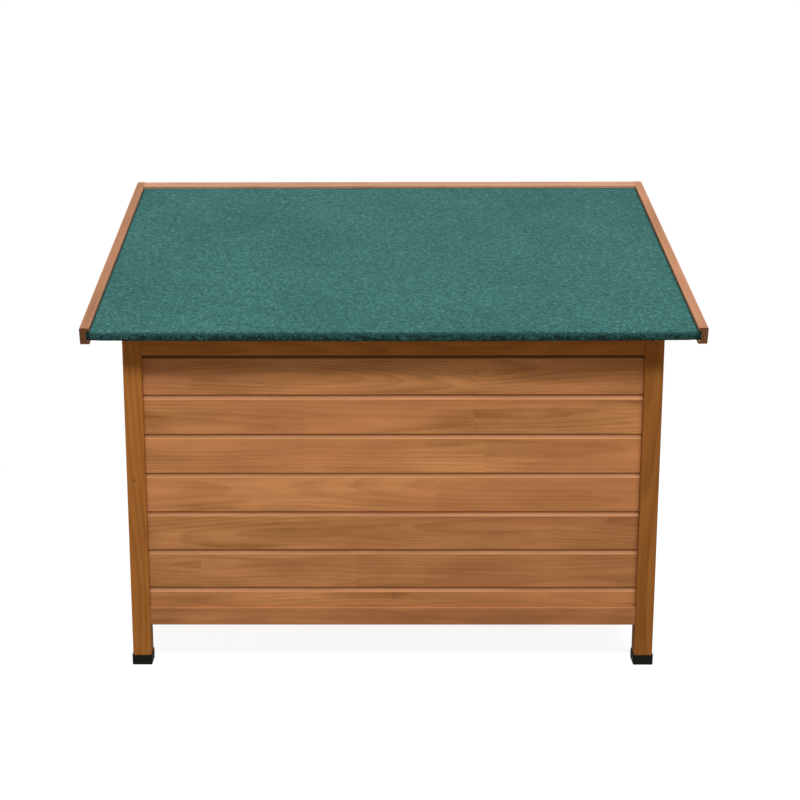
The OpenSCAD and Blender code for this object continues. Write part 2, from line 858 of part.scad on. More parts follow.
module wall_fitting_screws() {
    color(steel_colour) {
        wall_hinges() leaf_screw_spots() small_screw();
        flip() plate_screw_spots() small_screw();
    }
}

module roof_fitting_screws() {
    color(steel_colour) {
        roof_hinges() leaf_screw_spots() small_screw();
        flip() bracket_screw_spots() small_screw();
    }
}

flip() rear_post();  // rear_left_post
rear_post();  // rear_right_post
flip() front_post();  // front_left_post
front_post();  // front_right_post
rear_wall() flip() foot();  // rear_left_foot
rear_wall() foot();  // rear_right_foot
front_wall() flip() foot();  // front_left_foot
front_wall() foot();  // front_right_foot
rear_top_rail();
rear_bottom_rail();
for (i = [0:last_rear])
    rear_board(i);
left_rear_stile();
left_front_stile();
left_top_rail();
left_bottom_rail();
left_boards();
flip() left_rear_stile();  // right_rear_stile
flip() left_front_stile();  // right_front_stile
right_top_rail();
flip() left_bottom_rail();  // right_bottom_rail
flip() left_boards();  // right_boards
front_top_rail();
front_bottom_rail();
door_left_jamb();
door_right_jamb();
door_lintel();
door_sill();
front_left_boards();
front_right_boards();
front_upper_boards();
rear_wall() floor_ledger();  // floor_rear_ledger
front_wall() floor_ledger();  // floor_front_ledger
floor_boards();
post_screws();
flip() wall_hinge() hinge_leaf(0);  // left_hinge_wall_leaf
wall_hinge() hinge_leaf(0);  // right_hinge_wall_leaf
flip() hinge_pin();  // left_hinge_pin
hinge_pin();  // right_hinge_pin
stay_guide();
wall_fitting_screws();
roof_boards();
roof_felt();
flip() side_trim();  // roof_left_trim
side_trim();  // roof_right_trim
roof_front_trim();
roof_left_batten();
batten();  // roof_right_batten
flip() roof_hinge() hinge_leaf(1);  // left_hinge_roof_leaf
roof_hinge() hinge_leaf(1);  // right_hinge_roof_leaf
stay_bracket();
roof_fitting_screws();
stay_arm();
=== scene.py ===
# %% [markdown]
# # A dog kennel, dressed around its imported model
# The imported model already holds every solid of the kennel: posts, rails, boards, roof, hinges and stay. It
# is loaded as a fixed frame, in metres. This lesson gives the solids their finishes and makes the pieces that
# solids can't show well: the roofing felt with its mineral grit, and the cross-head screws.

import math
import random
from types import SimpleNamespace

import bpy
import numpy as np
from mathutils import Euler, Matrix, Vector, noise


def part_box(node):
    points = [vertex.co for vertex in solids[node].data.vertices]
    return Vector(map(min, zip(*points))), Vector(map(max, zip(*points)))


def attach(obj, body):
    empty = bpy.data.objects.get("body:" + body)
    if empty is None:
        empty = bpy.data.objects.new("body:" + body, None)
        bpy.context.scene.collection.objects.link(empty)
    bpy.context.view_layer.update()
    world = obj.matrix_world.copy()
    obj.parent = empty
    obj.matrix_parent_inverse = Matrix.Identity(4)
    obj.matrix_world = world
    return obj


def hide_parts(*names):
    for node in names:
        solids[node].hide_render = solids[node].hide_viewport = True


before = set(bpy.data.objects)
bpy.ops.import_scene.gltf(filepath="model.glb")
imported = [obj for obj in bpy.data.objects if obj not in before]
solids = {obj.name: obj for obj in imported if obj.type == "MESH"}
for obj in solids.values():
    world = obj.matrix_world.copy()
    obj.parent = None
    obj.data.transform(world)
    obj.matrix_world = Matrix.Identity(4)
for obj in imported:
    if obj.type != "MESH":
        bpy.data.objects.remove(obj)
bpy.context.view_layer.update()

# %% [markdown]
# ## The camera
# The photograph looks at the back of the kennel, a little from above and from just left of its middle. Its
# vanishing lines gave the lens and the tilt. The picture is a crop, so its middle isn't on the lens's axis:
# the camera's shift stands for that crop.

# %% Place the camera
MM = 0.001
SENSOR_WIDTH = 36
FOCAL_LENGTH = 71.69
CROP_SHIFT = (0.0474, -0.0809)
CAMERA_PLACE = (-0.0369, -3.2630, 1.3270)
TILT_DOWN = 12.810
TURN_LEFT = 0.415
ROLL = -0.146
scene = bpy.context.scene


def add_object(name, data):
    made = bpy.data.objects.new(name, data)
    scene.collection.objects.link(made)
    return made


lens = bpy.data.cameras.new("view_from_behind")
lens.sensor_width = SENSOR_WIDTH
lens.lens = FOCAL_LENGTH
lens.shift_x, lens.shift_y = CROP_SHIFT
camera = add_object("view_from_behind", lens)
camera.location = CAMERA_PLACE
look = Euler((math.radians(90 - TILT_DOWN), 0, math.radians(TURN_LEFT))).to_matrix()
camera.rotation_euler = (look @ Matrix.Rotation(math.radians(ROLL), 3, "Z")).to_euler()
scene.camera = camera
scene.view_settings.view_transform = "Standard"
print("camera at", tuple(round(v, 3) for v in camera.location))

# %% [markdown]
# ## A short way to write nodes
# A material is a small sum: so much ring, so much fibre, a little blotch. Written as nodes and links, that
# sum is hard to read. The class Wire holds one socket, and its operators add Math nodes, so the sum can be
# written as a sum. The class Nodes adds every other kind of node in one call.


# %% Sockets that can be added and multiplied
class Wire:
    """A value, vector or colour on its way through a node tree."""

    def __init__(self, nodes, socket):
        self.nodes = nodes
        self.socket = socket

    def __add__(self, other):
        return self.nodes.math("ADD", self, other)

    def __radd__(self, other):
        return self.nodes.math("ADD", other, self)

    def __sub__(self, other):
        return self.nodes.math("SUBTRACT", self, other)

    def __rsub__(self, other):
        return self.nodes.math("SUBTRACT", other, self)

    def __mul__(self, other):
        return self.nodes.math("MULTIPLY", self, other)

    def __rmul__(self, other):
        return self.nodes.math("MULTIPLY", other, self)

    def __truediv__(self, other):
        return self.nodes.math("DIVIDE", self, other)

    def __pow__(self, other):
        return self.nodes.math("POWER", self, other)

    def __abs__(self):
        return self.nodes.math("ABSOLUTE", self)

    def other(self, name):
        """Another output of the node that this one comes from."""
        return Wire(self.nodes, self.socket.node.outputs[name])


class Nodes:
    """Adds nodes to one tree: a type, its settings, then its sockets' values or links."""

    def __init__(self, tree):
        self.tree = tree

    def add(self, kind, settings=(), inputs=(), out=0):
        node = self.tree.nodes.new(kind)
        for name, value in dict(settings).items():
            setattr(node, name, value)
        for name, value in dict(inputs).items():
            wires = value if isinstance(value, list) else [value]
            if not isinstance(wires[0], Wire):
                node.inputs[name].default_value = value
                continue
            for wire in wires:
                self.tree.links.new(wire.socket, node.inputs[name])
        return Wire(self, node.outputs[out]) if len(node.outputs) else node

    def math(self, operation, *values):
        return self.add("ShaderNodeMath", {"operation": operation}, enumerate(values))

    def floor(self, value):
        return self.math("FLOOR", value)

    def least(self, first, second):
        return self.math("MINIMUM", first, second)

    def most(self, first, second):
        return self.math("MAXIMUM", first, second)

    def white(self, x, y, z):
        """Three chances, fixed for each x, y and z."""
        place = {"Vector": self.join(x, y, z)}
        return self.split(self.add("ShaderNodeTexWhiteNoise", (), place, "Color"))

    def ease(self, value, low, high):
        """0 below low, 1 above high and smooth between."""
        limits = {"Value": value, "From Min": low, "From Max": high}
        return self.add("ShaderNodeMapRange", {"interpolation_type": "SMOOTHSTEP"}, limits)

    def mix(self, share, first, second):
        """A colour between two."""
        return self.add("ShaderNodeMix", {"data_type": "RGBA"}, {0: share, 6: first, 7: second}, 2)

    def split(self, vector):
        first = self.add("ShaderNodeSeparateXYZ", (), {0: vector})
        return [first, first.other("Y"), first.other("Z")]

    def join(self, x, y, z):
        return self.add("ShaderNodeCombineXYZ", (), {0: x, 1: y, 2: z})

    def stretch(self, vector, scale):
        return self.add("ShaderNodeVectorMath", {"operation": "MULTIPLY"}, {0: vector, 1: scale})

    def turned(self, vector, turn, kind="POINT"):
        return self.add("ShaderNodeMapping", {"vector_type": kind}, {"Vector": vector, "Rotation": turn})

    def noise(self, vector, scale, detail, rough=0.5, out=0):
        inputs = {"Vector": vector, "Scale": scale, "Detail": detail, "Roughness": rough}
        return self.add("ShaderNodeTexNoise", (), inputs, out)

    def bump(self, strength, distance, height):
        inputs = {"Strength": strength, "Distance": distance, "Height": height}
        return self.add("ShaderNodeBump", (), inputs)


def colour(red, green, blue):
    """A colour as it shows on a screen, 0 to 255, as the light values that nodes use."""
    share = [v / 255 for v in (red, green, blue)]
    return [v / 12.92 if v < 0.04045 else ((v + 0.055) / 1.055) ** 2.4 for v in share] + [1.0]


def grey(share):
    return (share, share, share, 1.0)


def new_finish(name):
    """An empty material and its nodes."""
    material = bpy.data.materials.new(name)
    material.use_nodes = True
    material.node_tree.nodes.clear()
    return material, Nodes(material.node_tree)


def surface(nodes, **sockets):
    """Ends a material in one shader. Names use _ for the spaces in the sockets' names."""
    inputs = {name.replace("_", " "): value for name, value in sockets.items()}
    shader = nodes.add("ShaderNodeBsdfPrincipled", (), inputs)
    nodes.add("ShaderNodeOutputMaterial", (), {"Surface": shader})


def dress(piece, material):
    """Gives a piece one material."""
    piece.data.materials.clear()
    piece.data.materials.append(material)


print("helpers ready")

# %% [markdown]
# ## The studio
# The object stands on a white floor. The key light is a wide softbox high up behind the camera, far enough
# away to light the roof evenly. The roof's overhang shades the upper boards, and the shade ends softly, as in
# the photograph. A warm fill behind the camera opens that shade, and two more lamps light the front and the
# left, which the camera doesn't see. The floor and the world show as white to the camera and in reflections,
# while they light the object only as a dim room would. Away from the object, the floor fades into the world
# and no horizon shows.

# %% World and floor
AMBIENT = 0.085
FLOOR_SIZE = 14.0
FADE_FROM = 0.75
FADE_TO = 1.4
FLOOR_BOUNCE = 0.36
FLOOR_SHADE = 0.2
FLOOR_GLOW = 0.9


def seen(nodes):
    """1 for rays that come from the camera or a reflection, 0 for the rest."""
    path = nodes.add("ShaderNodeLightPath", out="Is Camera Ray")
    rays = path + path.other("Is Glossy Ray") + path.other("Is Transmission Ray")
    return nodes.least(rays, 1.0)


world = bpy.data.worlds.new("studio")
world.use_nodes = True
world.node_tree.nodes.clear()
sky = Nodes(world.node_tree)
strength = AMBIENT + (1 - AMBIENT) * seen(sky)
backdrop = sky.add("ShaderNodeBackground", (), {"Color": grey(1.0), "Strength": strength})
sky.add("ShaderNodeOutputWorld", (), {"Surface": backdrop})
scene.world = world

floor_paint, nodes = new_finish("studio_floor")
x, y, _ = nodes.split(nodes.add("ShaderNodeTexCoord", out="Object"))
away = nodes.ease(nodes.math("SQRT", x ** 2 + y ** 2), FADE_FROM, FADE_TO)
bounce = nodes.add("ShaderNodeBsdfDiffuse", (), {"Color": grey(FLOOR_BOUNCE)})
shade = nodes.add("ShaderNodeBsdfDiffuse", (), {"Color": grey(FLOOR_SHADE)})
glow = nodes.add("ShaderNodeEmission", (), {"Color": grey(1.0), "Strength": FLOOR_GLOW})
white = nodes.add("ShaderNodeEmission", (), {"Color": grey(1.0), "Strength": 1.0})
near = nodes.add("ShaderNodeAddShader", (), {0: shade, 1: glow})
shown = nodes.add("ShaderNodeMixShader", (), {0: away, 1: near, 2: white})
floor_look = nodes.add("ShaderNodeMixShader", (), {0: seen(nodes), 1: bounce, 2: shown})
nodes.add("ShaderNodeOutputMaterial", (), {"Surface": floor_look})

half = FLOOR_SIZE / 2
floor_mesh = bpy.data.meshes.new("studio_floor")
corners = [(-half, -half, 0), (half, -half, 0), (half, half, 0), (-half, half, 0)]
floor_mesh.from_pydata(corners, [], [(0, 1, 2, 3)])
floor = add_object("studio_floor", floor_mesh)
dress(floor, floor_paint)
print("floor:", FLOOR_SIZE, "m wide")

# %% Lamps
BACK_WALL = (0, -0.3, 0.45)
FRONT_WALL = (0, 0.2, 0.45)
MIDDLE = (0, 0.0, 0.45)
COOL = (0.98, 1.03, 1.12)
WARM = (1.0, 0.81, 0.5)


def add_lamp(name, place, target, size, watts, tint=(1.0, 1.0, 1.0)):
    lamp = bpy.data.lights.new(name, "AREA")
    lamp.color = tint
    lamp.shape = "RECTANGLE"
    lamp.size, lamp.size_y = size
    lamp.energy = watts
    made = add_object(name, lamp)
    made.location = place
    made.rotation_euler = (Vector(target) - Vector(place)).to_track_quat("-Z", "Y").to_euler()


add_lamp("key_softbox", (1.4, -9.9, 16.0), BACK_WALL, (16.0, 3.5), 4000, COOL)
add_lamp("fill_softbox", (0.2, -4.6, 1.7), BACK_WALL, (3.0, 2.2), 27, WARM)
add_lamp("front_softbox", (1.6, 3.7, 1.1), FRONT_WALL, (2.0, 1.6), 95)
add_lamp("left_softbox", (-3.6, 0.5, 0.55), MIDDLE, (1.6, 0.9), 60)

# %% [markdown]
# ## Stained softwood
# The kennel is made of fir, stained a warm brown. Up close, each board shows year rings cut at a slant, fine
# fibres along its length, and patches where the stain sank in more. A flat picture of wood can't wrap round a
# post, so the wood is a solid pattern: rings round a pith that wanders along the piece, seen where the
# piece's faces cut them. The ends of a piece then show arcs, and drink more stain, as real end grain does.
#
# Boards of this kind are glued up from shorter lengths, so the pattern starts afresh at each joint along a
# board, with a slightly different tone.

# %% Where a point lies in its piece
GRAIN_X = (0.0, 0.0, 0.0)
GRAIN_Y = (0.0, 0.0, -math.pi / 2)
GRAIN_Z = (0.0, math.pi / 2, 0.0)
PITCH = math.radians(12)
SLOPE_X = (-PITCH, 0.0, 0.0)
SLOPE_Y = (-PITCH, 0.0, -math.pi / 2)
LENGTHS = 0.42


def section_of(names, turn):
    """Middle and half size, across the grain, of the solids with these names."""
    matrix = np.array(Euler(turn).to_matrix())
    points = np.concatenate([[v.co for v in solids[n].data.vertices] for n in names]) @ matrix.T
    low, high = points.min(0), points.max(0)
    return (low + high) / 2, (high - low) / 2


def find_spot(nodes, names, turn, seed, boards):
    """Where a point lies in its bar or board. edge and face are below 0 inside, and 0 at the surface."""
    middle, reach = section_of(names, turn)
    lay = nodes.turned(nodes.add("ShaderNodeTexCoord", out="Object"), turn)
    along, side, rise = nodes.split(lay)
    spot = SimpleNamespace(lay=lay, along=along, rise=rise)
    if not boards:
        spot.count = random.Random(seed).random() * 50
        spot.length = spot.count
        spot.local = rise - float(middle[2])
        spot.depth = side - float(middle[1])
        spot.edge = abs(spot.local) - float(reach[2])
        spot.face = abs(spot.depth) - float(reach[1])
        return spot

    axis, start, cover, gap = boards
    across = (side, rise)[axis]
    spot.count = nodes.floor((across - start) / cover)
    spot.local = across - start - (spot.count + 0.5) * cover
    spot.depth = (rise, side)[axis] - float(middle[2 - axis])
    run = along / LENGTHS + nodes.white(spot.count, seed * 0.37, 3.3)[0] * 7
    late_joint = nodes.white(spot.count, nodes.floor(run), seed * 0.53)[0] * 0.6
    spot.length = nodes.floor(run) - nodes.math("LESS_THAN", nodes.math("FRACT", run), late_joint)
    spot.crown = spot.local - (cover / 2 - gap)
    spot.foot = -cover / 2 - spot.local
    spot.edge = nodes.most(spot.crown, spot.foot)
    spot.face = abs(spot.depth) - float(reach[2 - axis])
    return spot


print("grain turns:", GRAIN_X, GRAIN_Y, GRAIN_Z)

# %% [markdown]
# The patterns are counted per metre, along the grain and across it. Fibres are thin and long, streaks wider,
# blotches wider still. On the boards, three things draw each joint: a painted highlight on each board's upper
# edge, painted shade with some stain gathered in the V, and a painted shadow where the topmost board goes in
# under its rail.

# %% The wood's pattern
RING = 4.2 * MM
RIPPLE = (2.4, 38, 38)
STREAK = (2.2, 70, 70)
FIBRE = (6, 550, 550)
BLOTCH = (6.0, 22, 22)
CAST = (2.0, 9, 9)
END_GRAIN = (0.38, 0.34, 0.25, 1.0)
MATT_WOOD = 0.08


def darker(tone, share):
    return [v * share for v in tone[:3]] + [1.0]


def late_wood(nodes, spot, first, second):
    """How far a point is in the dark part of its year ring. The pith wanders along the piece."""
    wander = nodes.noise(nodes.join(spot.along * 1.1, first * 31, second * 17), 1.0, 1.0, out="Color")
    sway, dive, _ = nodes.split(wander)
    pith = (first - 0.5) * 0.07 + (sway - 0.5) * 0.07
    under = 0.028 + second * 0.05 + (dive - 0.5) * 0.06
    radius = nodes.math("SQRT", (spot.local - pith) ** 2 + (spot.depth - under) ** 2)
    ripple = nodes.noise(nodes.stretch(spot.lay, RIPPLE), 1.0, 2.0)
    ring = nodes.math("FRACT", radius / RING + ripple * 1.3)
    return nodes.ease(ring, 0.25, 0.9) * (1 - nodes.ease(ring, 0.9, 1.0))


def draw_joints(nodes, spot, tone, blotch, rail, highlight_tone, deep):
    """Painted highlight on each board's upper edge, painted shade with some stain in its joints, and painted
    shadow under a rail.
    """
    # Painted highlight: a pale band just below each board's top edge, where light catches it
    painted_highlight = nodes.ease(spot.crown, -7.4 * MM, -4.6 * MM) * (blotch * 1.8 - 0.1)
    # Painted shade in each joint's V and on the chamfers beside it, with some stain gathered there
    past = nodes.ease(spot.crown, -0.8 * MM, 0.4 * MM)
    upper = nodes.ease(spot.crown, -3.9 * MM, -2.3 * MM) * (0.54 - past * 0.36)
    joint_shade_and_stain = nodes.most(upper, nodes.ease(spot.foot, -3.6 * MM, -0.8 * MM) * 0.28)
    # Painted shadow: the top of the highest board darkens where it goes in under the rail
    if rail:
        below = nodes.ease(spot.rise, rail - 12 * MM, rail - 5 * MM)
        painted_highlight = painted_highlight * (1 - below)
        joint_shade_and_stain = nodes.most(joint_shade_and_stain, below * 0.92)
    return nodes.mix(joint_shade_and_stain, nodes.mix(painted_highlight, tone, highlight_tone), deep)


def stained_wood(name, names, turn, tones, seed, boards=None, shade=1.0, rail=None, mottle=0.85):
    """Gives the named solids one wood, with its grain turned to X by turn.

    tones are light, dark, blush and, for boards, a painted highlight. boards is (axis, start, cover, gap),
    rail is the height of the rail that the boards meet at the top, and mottle is how unevenly the stain went
    in.
    """
    light, dark, blush = (darker(tone, shade) for tone in tones[:3])
    material, nodes = new_finish(name)
    spot = find_spot(nodes, names, turn, seed, boards)
    first, second, third = nodes.white(spot.count, spot.length, seed * 1.7)

    # Rings, fibres, streaks and stain
    late = late_wood(nodes, spot, first, second)
    streak = nodes.noise(nodes.stretch(spot.lay, STREAK), 1.0, 3.0, 0.6)
    fibre = nodes.noise(nodes.stretch(spot.lay, FIBRE), 1.0, 2.0)
    blotch = nodes.noise(nodes.stretch(spot.lay, BLOTCH), 1.0, 3.0)
    cast = nodes.noise(nodes.stretch(spot.lay, CAST), 1.0, 1.0)
    uneven = (streak - 0.5) * 0.9 + (blotch - 0.5) * 1.5 + (cast - 0.5) * 0.9 + (third - 0.5) * 0.15
    brown = 0.45 + (late - 0.4) * 0.2 + (fibre - 0.5) * 0.45 + uneven * mottle
    brown = nodes.least(nodes.most(brown, 0.0), 1.0)
    tone = nodes.mix(brown, light, dark)
    tone = nodes.mix(nodes.ease(second * 0.1 + cast, 0.35, 0.75) * 0.6, tone, blush)

    # Worn arrises, the joints' painted highlight and shade, and end grain
    arris = nodes.ease(nodes.least(spot.edge, spot.face), -3.5 * MM, -0.8 * MM)
    tone = nodes.mix(arris * (0.3 + streak) * 0.3, tone, darker(light, 1.2))
    if boards:
        tone = draw_joints(nodes, spot, tone, blotch, rail, tones[3], darker(dark, 0.4))
    facing = nodes.turned(nodes.add("ShaderNodeTexCoord", out="Normal"), turn, "VECTOR")
    end = nodes.ease(abs(nodes.split(facing)[0]), 0.55, 0.85)
    thirst = [v * share for v, share in zip(dark, END_GRAIN)]
    drunk = nodes.mix(0.75 + late * 0.15, tone, thirst)
    tone = nodes.mix(end, tone, drunk)

    bump = nodes.bump(0.25, 0.6 * MM, late * 0.5 + streak * 0.8 + fibre * 0.6)
    rough = 0.62 + streak * 0.25 + late * 0.06 + end * 0.1
    surface(nodes, Base_Color=tone, Roughness=rough, Normal=bump, Specular_IOR_Level=MATT_WOOD)
    for solid in names:
        dress(solids[solid], material)


print("wood ready, rings of", round(RING / MM, 1), "mm")

# %% [markdown]
# ## The woods of this kennel
# Posts and upper rails are the darkest and the most yellow. The wall boards are lighter and a little pink,
# and the lower rails lie between. The roof's trims are the palest of the stained pieces. Floor, roof boards
# and battens are inside and were never stained. No two boards of the back wall took the stain alike, so each
# has a shade of its own.

# %% Frame wood
FRAME_TONES = (colour(182, 115, 52), colour(102, 58, 16), colour(156, 93, 40))
UPRIGHTS = [f"{row}_{side}_post" for row in ("rear", "front") for side in ("left", "right")]
UPRIGHTS += [f"{side}_{row}_stile" for row in ("rear", "front") for side in ("left", "right")]
UPRIGHTS += ["door_left_jamb", "door_right_jamb"]
CROSSWISE = ["rear_top_rail", "front_top_rail", "door_lintel", "door_sill"]
SLOPED = ["left_top_rail", "right_top_rail"]
FRAME_SHADES = {"rear_left_post": 0.98, "rear_right_post": 0.84}
FRAME_MOTTLE = 0.25
for turn, names in ((GRAIN_Z, UPRIGHTS), (GRAIN_X, CROSSWISE), (SLOPE_Y, SLOPED)):
    for solid in names:
        name = "frame_wood_" + solid
        shade = FRAME_SHADES.get(solid, 1.0)
        seed = len(bpy.data.materials)
        stained_wood(name, [solid], turn, FRAME_TONES, seed, shade=shade, mottle=FRAME_MOTTLE)
print("frame pieces:", len(UPRIGHTS) + len(CROSSWISE) + len(SLOPED))

# %% Board wood
# The fourth tone is the colour of the painted highlight on each board's upper edge
BOARD_TONES = (colour(197, 134, 81), colour(111, 68, 27), colour(185, 119, 74), colour(218, 153, 106))
BOARD_GAP = 1.6 * MM
BOARD_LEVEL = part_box("rear_board_2")[0].z
BOARD_COVER = BOARD_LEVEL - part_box("rear_board_3")[0].z
RAIL_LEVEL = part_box("rear_top_rail")[0].z
JOINTS = (1, BOARD_LEVEL, BOARD_COVER, BOARD_GAP)
REAR_BOARDS = sorted(n for n in solids if n.startswith("rear_board_"))
FRONT_BOARDS = ["front_left_boards", "front_right_boards", "front_upper_boards"]
BOARD_SHADES = (1.0, 1.04, 1.04, 1.02, 0.91, 0.88, 0.97)
FIRST_REAR_SEED = 20
FIRST_FIELD_SEED = 12
for seed, (board, shade) in enumerate(zip(REAR_BOARDS, BOARD_SHADES), FIRST_REAR_SEED):
    stained_wood("board_wood_" + board, [board], GRAIN_X, BOARD_TONES, seed, JOINTS, shade, RAIL_LEVEL)
fields = ((GRAIN_X, FRONT_BOARDS), (GRAIN_Y, ["left_boards"]), (GRAIN_Y, ["right_boards"]))
for seed, (turn, names) in enumerate(fields, FIRST_FIELD_SEED):
    stained_wood("board_wood_" + names[0], names, turn, BOARD_TONES, seed, JOINTS)
print("board cover:", round(BOARD_COVER, 4), "a joint at", round(BOARD_LEVEL, 4))

# %% Wood of the lower rails
LOW_SHADE = 0.8
LOW_MOTTLE = 1.5
LOW_RAILS = {f"{wall}_bottom_rail": GRAIN_X for wall in ("rear", "front")}
LOW_RAILS.update({f"{wall}_bottom_rail": GRAIN_Y for wall in ("left", "right")})
for solid, turn in LOW_RAILS.items():
    seed = len(bpy.data.materials)
    name = "low_rail_wood_" + solid
    stained_wood(name, [solid], turn, BOARD_TONES, seed, shade=LOW_SHADE, mottle=LOW_MOTTLE)
print("lower rails:", len(LOW_RAILS))

# %% Trim wood and bare wood
TRIM_TONES = (colour(222, 170, 134), colour(142, 96, 60), colour(205, 151, 120))
SIDE_TONES = (colour(205, 147, 109), colour(130, 86, 50), colour(190, 134, 101))
# As on the stained boards, the fourth tone is the painted highlight on the boards' upper edges
BARE_TONES = (colour(236, 205, 162), colour(174, 134, 88), colour(222, 180, 138), colour(244, 217, 177))
FLOOR_COVER = 95 * MM
ROOF_COVER = 92 * MM
CLOSE_GAP = 0.4 * MM
BARE_BARS = {"floor_rear_ledger": GRAIN_X, "floor_front_ledger": GRAIN_X}
BARE_BARS.update({"roof_left_batten": SLOPE_Y, "roof_right_batten": SLOPE_Y})


def row_of_boards(name, turn, cover):
    """The joints of a node whose boards lie side by side from its low end."""
    middle, reach = section_of([name], turn)
    return (0, float(middle[1] - reach[1]), cover, CLOSE_GAP)


stained_wood("trim_wood_front", ["roof_front_trim"], SLOPE_X, TRIM_TONES, 31)
stained_wood("trim_wood_left", ["roof_left_trim"], SLOPE_Y, SIDE_TONES, 32, shade=0.9)
stained_wood("trim_wood_right", ["roof_right_trim"], SLOPE_Y, SIDE_TONES, 33, shade=1.05)
for solid, turn in BARE_BARS.items():
    stained_wood("bare_wood_" + solid, [solid], turn, BARE_TONES, len(bpy.data.materials))
floor_joints = row_of_boards("floor_boards", GRAIN_Y, FLOOR_COVER)
stained_wood("bare_wood_floor", ["floor_boards"], GRAIN_Y, BARE_TONES, 15, floor_joints)
roof_joints = row_of_boards("roof_boards", SLOPE_X, ROOF_COVER)
stained_wood("bare_wood_roof", ["roof_boards"], SLOPE_X, BARE_TONES, 16, roof_joints)
print("woods:", sum("wood" in m.name for m in bpy.data.materials))

# %% [markdown]
# ## Feet and fittings
# The feet are moulded caps of black plastic with a fine spark-eroded grain and scuffs low down, where they
# meet the ground. Hinges and stay are zinc-plated steel: bright, a little blue, and cloudy from the plating.

# %% Black plastic
FEET = [f"{row}_{side}_foot" for row in ("rear", "front") for side in ("left", "right")]
MATT_PLASTIC = 0.06
foot_plastic, nodes = new_finish("foot_plastic")
place = nodes.add("ShaderNodeTexCoord", out="Object")
grain = nodes.noise(place, 1400.0, 2.0)
cloud = nodes.noise(place, 60.0, 3.0)
low = 1 - nodes.ease(nodes.split(place)[2], 0.5 * MM, 7 * MM)
scuff = low * nodes.ease(nodes.noise(nodes.stretch(place, (300, 300, 90)), 1.0, 3.0), 0.52, 0.7)
black = nodes.mix(cloud, colour(16, 18, 14), colour(24, 26, 21))
black = nodes.mix(scuff * 0.4, black, colour(52, 51, 48))
rough = 0.62 + cloud * 0.2 + scuff * 0.1
bump = nodes.bump(0.25, 0.3 * MM, grain)
surface(nodes, Base_Color=black, Roughness=rough, Normal=bump, Specular_IOR_Level=MATT_PLASTIC)
for solid in FEET:
    dress(solids[solid], foot_plastic)
print("feet:", len(FEET))

# %% Zinc-plated steel
LEAVES = ("wall_leaf", "roof_leaf", "pin")
FITTINGS = [f"{side}_hinge_{leaf}" for side in ("left", "right") for leaf in LEAVES]
FITTINGS += ["stay_guide", "stay_bracket", "stay_arm"]
zinc_steel, nodes = new_finish("zinc_steel")
place = nodes.add("ShaderNodeTexCoord", out="Object")
cloud = nodes.noise(place, 90.0, 4.0, 0.6)
draw_lines = nodes.noise(nodes.stretch(place, (60, 900, 900)), 1.0, 2.0)
zinc = nodes.mix(cloud, colour(176, 180, 186), colour(214, 215, 216))
dull = nodes.ease(nodes.noise(place, 25.0, 3.0), 0.55, 0.75)
zinc = nodes.mix(dull * 0.35, zinc, colour(140, 140, 138))
rough = 0.28 + cloud * 0.14 + dull * 0.18
bump = nodes.bump(0.12, 0.1 * MM, draw_lines)
surface(nodes, Base_Color=zinc, Metallic=1.0, Roughness=rough, Normal=bump)
for solid in FITTINGS:
    dress(solids[solid], zinc_steel)
print("fittings:", len(FITTINGS))

# %% [markdown]
# ## Pieces that repeat
# The kennel has some thirty screws and its felt has thousands of chips of grit. Copying objects in a loop
# would do, but a Geometry Nodes tree keeps the sizes as named inputs and the chances under one seed. The tree
# is built here in code, run once on a start mesh, and its result is kept as a plain mesh.


# %% Trees for shapes
def new_tree(name, labels):
    """An empty Geometry Nodes tree with named inputs, and those inputs as wires."""
    tree = bpy.data.node_groups.new(name, "GeometryNodeTree")
    tree.interface.new_socket("Start", in_out="INPUT", socket_type="NodeSocketGeometry")
    tree.interface.new_socket("Result", in_out="OUTPUT", socket_type="NodeSocketGeometry")
    for label in labels:
        kind = "NodeSocketInt" if label == "Seed" else "NodeSocketFloat"
        tree.interface.new_socket(label, in_out="INPUT", socket_type=kind)
    nodes = Nodes(tree)
    start = nodes.add("NodeGroupInput")
    return tree, nodes, {label: start.other(label) for label in ("Start", *labels)}


def chance(nodes, low, high, seed):
    """A random number from low to high for each point."""
    limits = {2: low, 3: high, "Seed": seed}
    return nodes.add("FunctionNodeRandomValue", {"data_type": "FLOAT"}, limits, 1)


def spun(nodes, rotation, seed):
    """A rotation with a random turn about its own Z axis."""
    angle = chance(nodes, 0.0, 2 * math.pi, seed)
    turn = nodes.add("FunctionNodeAxisAngleToRotation", (), {"Axis": (0, 0, 1), "Angle": angle})
    inputs = {"Rotation": rotation, "Rotate By": turn}
    return nodes.add("FunctionNodeRotateRotation", {"rotation_space": "LOCAL"}, inputs)


def end_tree(nodes, instances, material):
    """Makes the instances real and gives them their material."""
    real = nodes.add("GeometryNodeRealizeInstances", (), {"Geometry": instances})
    inputs = {"Geometry": real, "Material": material}
    nodes.add("NodeGroupOutput", (), {"Result": nodes.add("GeometryNodeSetMaterial", (), inputs)})


def grow(name, start, tree, sizes):
    """Runs a tree on a start mesh and keeps the result as a plain mesh."""
    holder = add_object(name + "_start", start)
    modifier = holder.modifiers.new("grow", "NODES")
    modifier.node_group = tree
    for item in tree.interface.items_tree:
        if item.in_out == "INPUT" and item.name in sizes:
            modifier[item.identifier] = sizes[item.name]
    graph = bpy.context.evaluated_depsgraph_get()
    mesh = bpy.data.meshes.new_from_object(holder.evaluated_get(graph))
    bpy.data.objects.remove(holder)
    mesh.name = name
    return add_object(name, mesh)


print("tree helpers ready")

# %% [markdown]
# The screws are countersunk, with a cross in the head, and browned so that they don't stand out on the wood.
# One screw is a cone and a shank, joined, with two crossed bars cut out of its head. Each one sits where the
# model has a screw, with its cross at an angle of its own.

